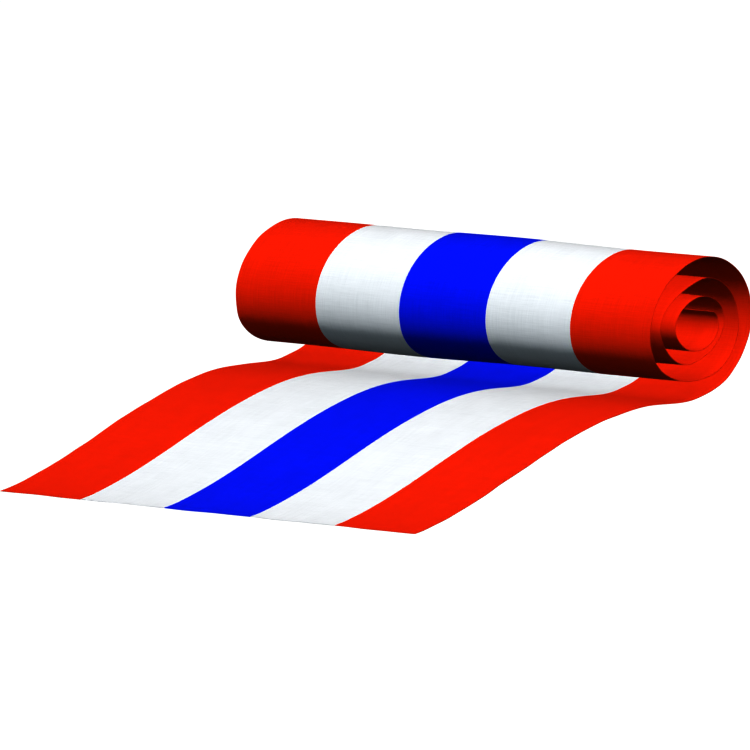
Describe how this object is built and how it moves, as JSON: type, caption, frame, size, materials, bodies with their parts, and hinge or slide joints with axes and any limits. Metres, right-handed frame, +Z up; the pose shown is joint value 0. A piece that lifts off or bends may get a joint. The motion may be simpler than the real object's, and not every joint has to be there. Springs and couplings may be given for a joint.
{
  "type": "roll of striped bunting",
  "caption": "Loose roll of striped bunting cloth lying on its side, its outer end laid out flat in front over a low hump.",
  "frame": {"origin": "middle of the flat spot under the roll, halfway across the cloth's width, on the surface it rests on", "axes": "+X along the roll across the cloth's width, +Y to the back, away from the laid-out end, +Z up"},
  "size_m": [0.4572, 0.3835, 0.1025],
  "materials": {
    "bunting_cloth": "matt plain-weave cotton in five lengthwise stripes: red, white, blue, white, red"
  },
  "bodies": {
    "root": {"bunting_cloth": "bunting_cloth"}
  },
  "joints": []
}
